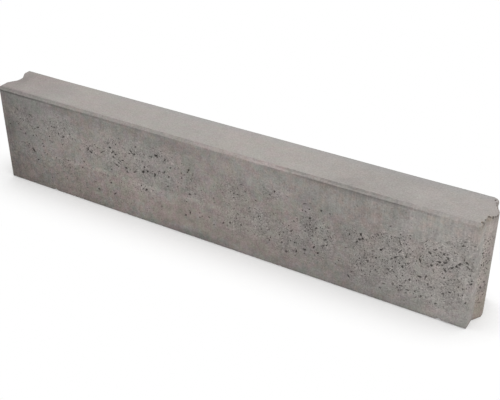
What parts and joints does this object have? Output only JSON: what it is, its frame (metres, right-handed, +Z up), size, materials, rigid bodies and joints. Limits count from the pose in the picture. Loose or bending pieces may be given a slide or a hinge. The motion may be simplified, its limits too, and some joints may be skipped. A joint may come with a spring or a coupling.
{
  "type": "concrete kerb stone",
  "caption": "Straight precast concrete kerb stone that edges a road or path, with chamfered top edges and a tongue-and-groove joint at its ends.",
  "frame": {"origin": "on the bed face, midway along the overall length and across the thickness", "axes": "+X along the kerb line towards the end with the tongue, +Y towards the road side, +Z up from the bed face to the top face"},
  "size_m": [1, 0.1, 0.205],
  "materials": {
    "concrete": "rough pressed concrete, light grey, with air holes"
  },
  "bodies": {
    "root": {"kerb_stone": "concrete"}
  },
  "joints": []
}
